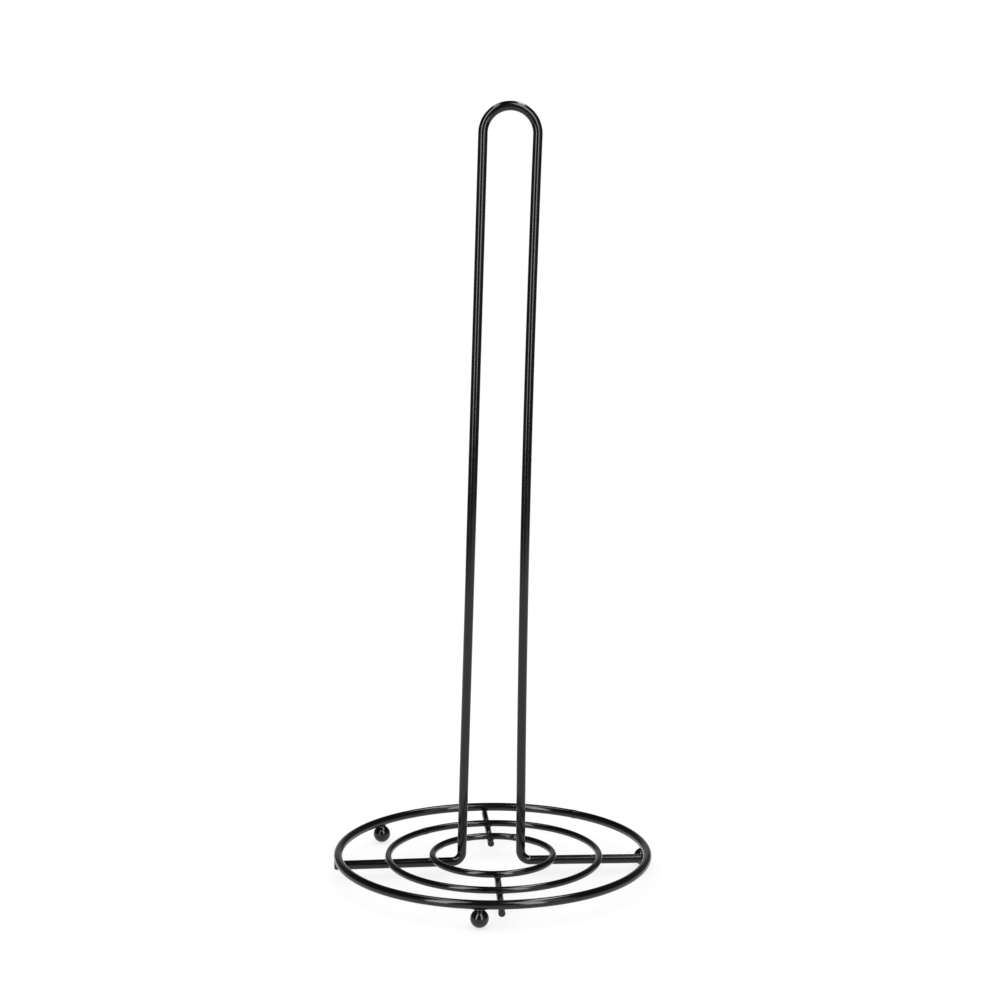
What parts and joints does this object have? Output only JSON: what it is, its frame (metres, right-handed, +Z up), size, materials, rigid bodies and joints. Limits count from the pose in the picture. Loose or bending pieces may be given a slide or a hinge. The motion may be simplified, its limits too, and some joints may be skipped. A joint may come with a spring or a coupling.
{
  "type": "paper towel holder",
  "caption": "Free-standing welded wire paper towel holder: a tall narrow arched loop standing on concentric wire rings with cross bars and small ball feet, coated black.",
  "frame": {"origin": "on the surface the holder stands on, under the common centre of the rings", "axes": "+Z up; the upright loop stands in the XZ plane with its foot runs along X; -Y is the front"},
  "size_m": [0.1476, 0.1473, 0.35],
  "materials": {
    "black_coating": "smooth semi-gloss black coating over steel wire"
  },
  "bodies": {
    "root": {"outer_ring": "black_coating", "middle_ring": "black_coating", "inner_ring": "black_coating", "upright_loop": "black_coating", "front_cross_bar": "black_coating", "rear_cross_bar": "black_coating", "ball_foot_front": "black_coating", "ball_foot_rear_left": "black_coating", "ball_foot_right": "black_coating"}
  },
  "joints": []
}
